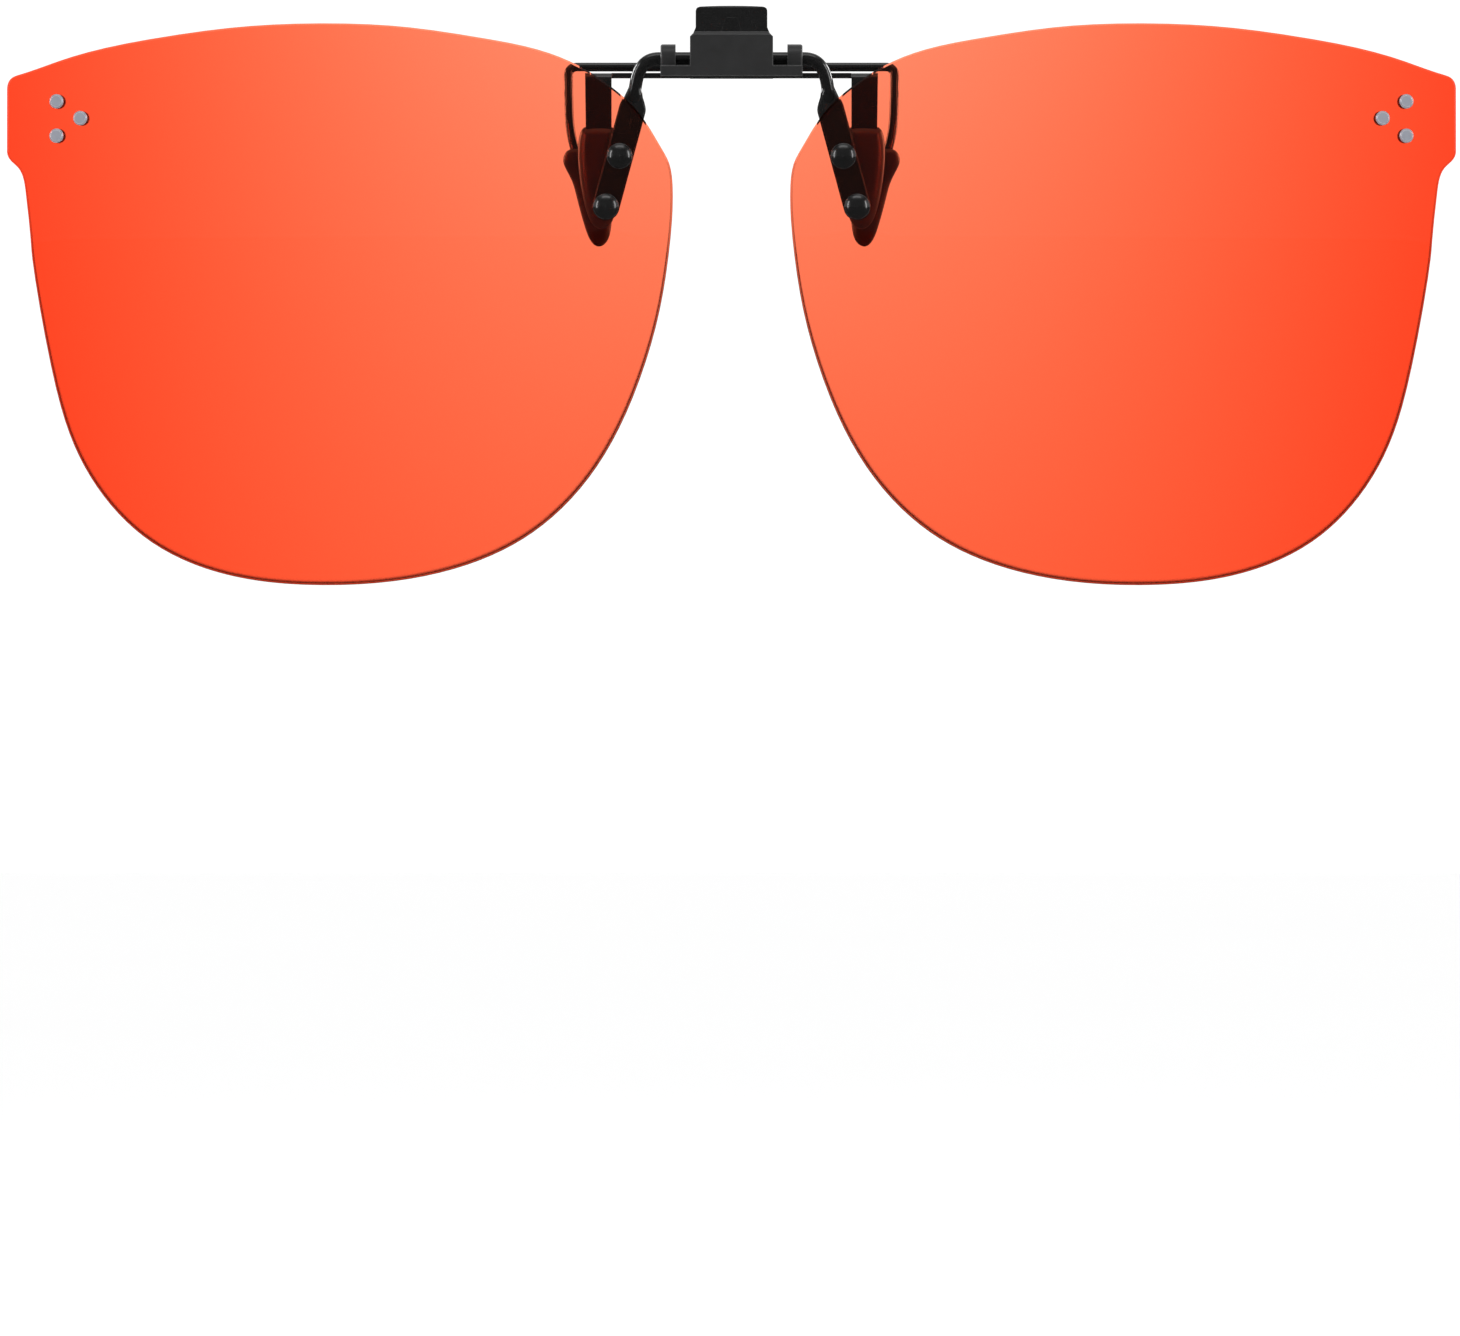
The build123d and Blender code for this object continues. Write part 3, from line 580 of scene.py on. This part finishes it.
def tinted_lens():
    material, tree, bsdf = new_material("red_orange_tint")
    dye = effect(tree, DYE, Lightest=LEAST_DYE)
    rim = effect(tree, LENS_RIM_SHADE)
    tree.links.new(dye.outputs["Below"], rim.inputs["Below"])
    marks = effect(tree, SCRATCHES, Density=260.0, Amount=0.012)
    skin = effect(tree, SKIN, Grain=900.0, Cloud=60.0)
    green = maths(tree, "EXPONENT", maths(tree, "MULTIPLY", dye.outputs["Depth"], -1.0))
    blue = maths(tree, "EXPONENT", maths(tree, "MULTIPLY", dye.outputs["Depth"], -BLUE_STOP))
    colour = tree.nodes.new("ShaderNodeCombineColor")
    colour.inputs[0].default_value = 1.0
    tree.links.new(green, colour.inputs[1])
    tree.links.new(blue, colour.inputs[2])
    # the rim mask mixes painted shade into the lens colour near its edge
    seen = blend_colour(tree, rim.outputs["Mask"], colour.outputs[0], RIM_SHADE_COLOUR)
    tree.links.new(seen, bsdf.inputs["Base Color"])
    bsdf.inputs["Transmission Weight"].default_value = 1.0
    bsdf.inputs["IOR"].default_value = 1.5
    haze = maths(tree, "ADD", span(tree, skin.outputs["Patches"], 0.004, 0.012), marks.outputs["Mask"])
    tree.links.new(haze, bsdf.inputs["Roughness"])
    raise_surface(tree, bsdf, skin.outputs["Patches"], 0.0004 * MM)
    return material


# %% Put each finish on its nodes
FINISHES = {
    satin_lacquer(): ["hinge_body"],
    black_plating(): ["claw_plate", "left_lens_arm", "right_lens_arm", "left_lens_rivets",
                      "right_lens_rivets", "squeeze_lever", "claw_wire"],
    stud_aluminium(): ["left_corner_studs", "right_corner_studs"],
    bright_nickel(): ["plate_rivets", "detent_cam"],
    spring_steel(): ["detent_leaf", "torsion_spring"],
    tinted_lens(): ["left_lens", "right_lens"],
}
for finish, names in FINISHES.items():
    for name in names:
        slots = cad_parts[name].data.materials
        slots.clear()
        slots.append(finish)
    print(finish.name, "on", len(names), "nodes")

# %% [markdown]
# ## Rubber sleeves and pads
# A soft sleeve is pulled over each blade of the jaw, and a pad is moulded round each end of the
# claw wire behind it. Both are rounded where the eye can see them and flat where they grip a
# spectacle lens. Each one starts as a flat outline. Insetting it in steps, forward and back, gives
# a rounded cushion form, and a subdivision surface turns the steps into one smooth skin.

# %% Rubber sizes
SLEEVE_OUTLINE = [
    (11.85, -6.8), (14.8, -6.8), (15.2, -7.35), (15.42, -8.8), (15.36, -10.8), (15.1, -12.8),
    (14.75, -14.5), (14.4, -15.7), (13.9, -16.7), (13.0, -17.2), (12.1, -16.7), (11.62, -15.6),
    (11.45, -13.6), (11.42, -11.0), (11.45, -8.6), (11.5, -7.2),
]
PAD_OUTLINE = [
    (14.3, -9.1), (15.5, -8.85), (16.45, -9.0), (16.9, -9.75), (16.85, -10.5), (16.35, -11.4),
    (15.85, -12.4), (15.55, -13.6), (15.2, -15.0), (14.8, -16.4), (14.4, -17.7), (13.85, -18.6),
    (13.2, -18.85), (12.5, -18.4), (12.1, -17.5), (11.9, -15.5), (12.0, -12.8), (12.8, -10.2),
]
SLEEVE_FRONT = 0.95
SLEEVE_BACK = 2.55
PAD_FRONT = 2.75
PAD_BACK = 4.35
BLADE_MIDDLE = 1.75    # depth of the blade's middle, where the sleeve's mouth opens
MOUTH_DEPTH = 2.6
MOUTH_GAP = 0.62
MOUTH_LIP = 0.12
SLEEVE_WALL_FRONT = SLEEVE_FRONT + 0.75
SLEEVE_WALL_BACK = SLEEVE_BACK - 0.3
PAD_WALL_FRONT = PAD_FRONT + 0.5
PAD_WALL_BACK = PAD_BACK - 0.6


# %% Cushion builder
def outline_face(shape, outline, depth):
    """One flat face with this outline, at this depth, turned to the front."""
    corners = [shape.verts.new(spot(x, depth, z)) for x, z in outline]
    made = bmesh.ops.contextual_create(shape, geom=corners)["faces"][0]
    made.normal_update()
    if made.normal.y > 0:
        bmesh.ops.reverse_faces(shape, faces=[made])
    return made


def step_in(shape, face, inset, depth, lean):
    """Inset a face, move the new inner face to this depth, and lean it outwards."""
    bmesh.ops.inset_region(shape, faces=[face], thickness=inset * MM, use_even_offset=True)
    forward = spot(0, depth, 0).y - face.calc_center_median().y
    bmesh.ops.translate(shape, vec=(lean * MM, forward, 0), verts=face.verts)


def cushion(outline, seam, front_steps, back_steps):
    """A closed form round an outline. The seam gives the depths of its straight wall."""
    shape = bmesh.new()
    back = outline_face(shape, outline, seam[0])
    grown = bmesh.ops.extrude_face_region(shape, geom=[back], use_keep_orig=True)["geom"]
    front = [item for item in grown if isinstance(item, bmesh.types.BMFace)][0]
    bmesh.ops.translate(shape, vec=(0, (seam[1] - seam[0]) * MM, 0), verts=back.verts)
    for step in front_steps:
        step_in(shape, front, *step)
    for step in back_steps:
        step_in(shape, back, *step)
    bmesh.ops.recalc_face_normals(shape, faces=shape.faces)
    return shape


def add_pair(shape, name, body, node_name):
    """Make the right-hand piece and its mirror image from one bmesh."""
    for side in ("right", "left"):
        if side == "left":
            bmesh.ops.scale(shape, vec=(-1, 1, 1), verts=shape.verts)
            bmesh.ops.recalc_face_normals(shape, faces=shape.faces)
        mesh = bpy.data.meshes.new(f"{side}_{name}")
        shape.to_mesh(mesh)
        mesh.shade_smooth()
        piece = bpy.data.objects.new(f"{side}_{name}", mesh)
        bpy.context.scene.collection.objects.link(piece)
        smooth = piece.modifiers.new("smooth_skin", "SUBSURF")
        smooth.levels = 3
        smooth.render_levels = 3
        piece.data.materials.append(RUBBER)
        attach(piece, body)
        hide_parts(f"{side}_{node_name}")
    shape.free()
    print(name, "faces before smoothing:", len(mesh.polygons))


RUBBER = moulded_rubber()


# %% Front sleeves
sleeve = cushion(
    SLEEVE_OUTLINE,
    (SLEEVE_WALL_FRONT, SLEEVE_WALL_BACK),
    [(0.3, SLEEVE_FRONT + 0.36, 0.0), (0.42, SLEEVE_FRONT + 0.08, 0.0), (0.5, SLEEVE_FRONT, 0.12)],
    [(0.16, SLEEVE_BACK - 0.04, 0.0), (0.4, SLEEVE_BACK, 0.0)],
)
mouth = max(sleeve.faces, key=lambda face: face.calc_center_median().z - abs(face.normal.y))
bmesh.ops.inset_region(sleeve, faces=[mouth], thickness=MOUTH_LIP * MM, use_even_offset=True)
slot_middle = mouth.calc_center_median()
depths = [vert.co.y for vert in mouth.verts]
squeeze = MOUTH_GAP * MM / (max(depths) - min(depths))
to_middle = Matrix.Translation(-slot_middle)
bmesh.ops.scale(sleeve, vec=(1, squeeze, 1), space=to_middle, verts=mouth.verts)
shift = spot(0, BLADE_MIDDLE, 0).y - slot_middle.y
bmesh.ops.translate(sleeve, vec=(0, shift, 0), verts=mouth.verts)
bmesh.ops.inset_region(sleeve, faces=[mouth], thickness=0.02 * MM, depth=-MOUTH_DEPTH * MM)
add_pair(sleeve, "rubber_sleeve", "clip", "front_sleeve")

# %% Rear pads
pad = cushion(
    PAD_OUTLINE,
    (PAD_WALL_FRONT, PAD_WALL_BACK),
    [(0.25, PAD_FRONT + 0.16, 0.0), (0.4, PAD_FRONT, 0.0)],
    [(0.22, PAD_BACK - 0.2, 0.0), (0.45, PAD_BACK, 0.0)],
)
add_pair(pad, "rubber_pad", "lever", "rear_pad")
